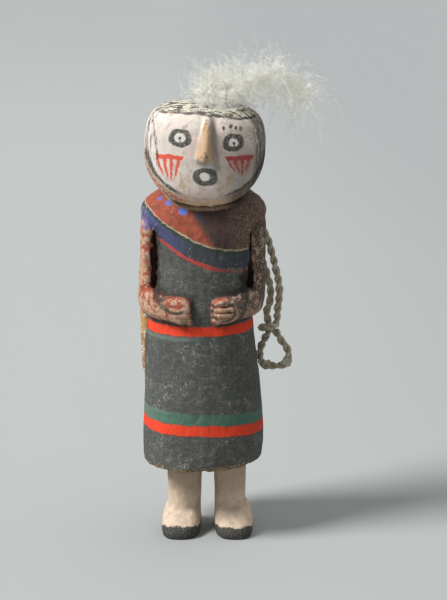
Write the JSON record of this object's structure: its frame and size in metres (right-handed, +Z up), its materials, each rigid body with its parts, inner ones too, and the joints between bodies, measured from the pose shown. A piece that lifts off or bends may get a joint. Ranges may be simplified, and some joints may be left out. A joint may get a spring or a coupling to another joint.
{
  "type": "kachina doll",
  "caption": "Standing carved and painted wooden kachina doll in a dark dress with red and green bands, a white down plume on the crown and a twisted cord tied round the neck.",
  "frame": {"origin": "on the plane of the soles, under the middle of the box round the figure and its plume; the figure's own axis stands at x = -0.0125 m, y = 0.0033 m", "axes": "+Z up along the figure, -Y the way it faces, +X towards its left hand"},
  "size_m": [0.0916, 0.0644, 0.2445],
  "materials": {
    "painted_wood": "matte mineral paint over a thin white ground, worn through to bare wood",
    "down": "soft white down",
    "cotton_cord": "twisted undyed cotton, soiled"
  },
  "bodies": {
    "root": {"carved_figure": "painted_wood", "down_plume": "down", "cord_neck": "cotton_cord", "cord_hanging": "cotton_cord", "nape_knot": "cotton_cord"}
  },
  "joints": []
}
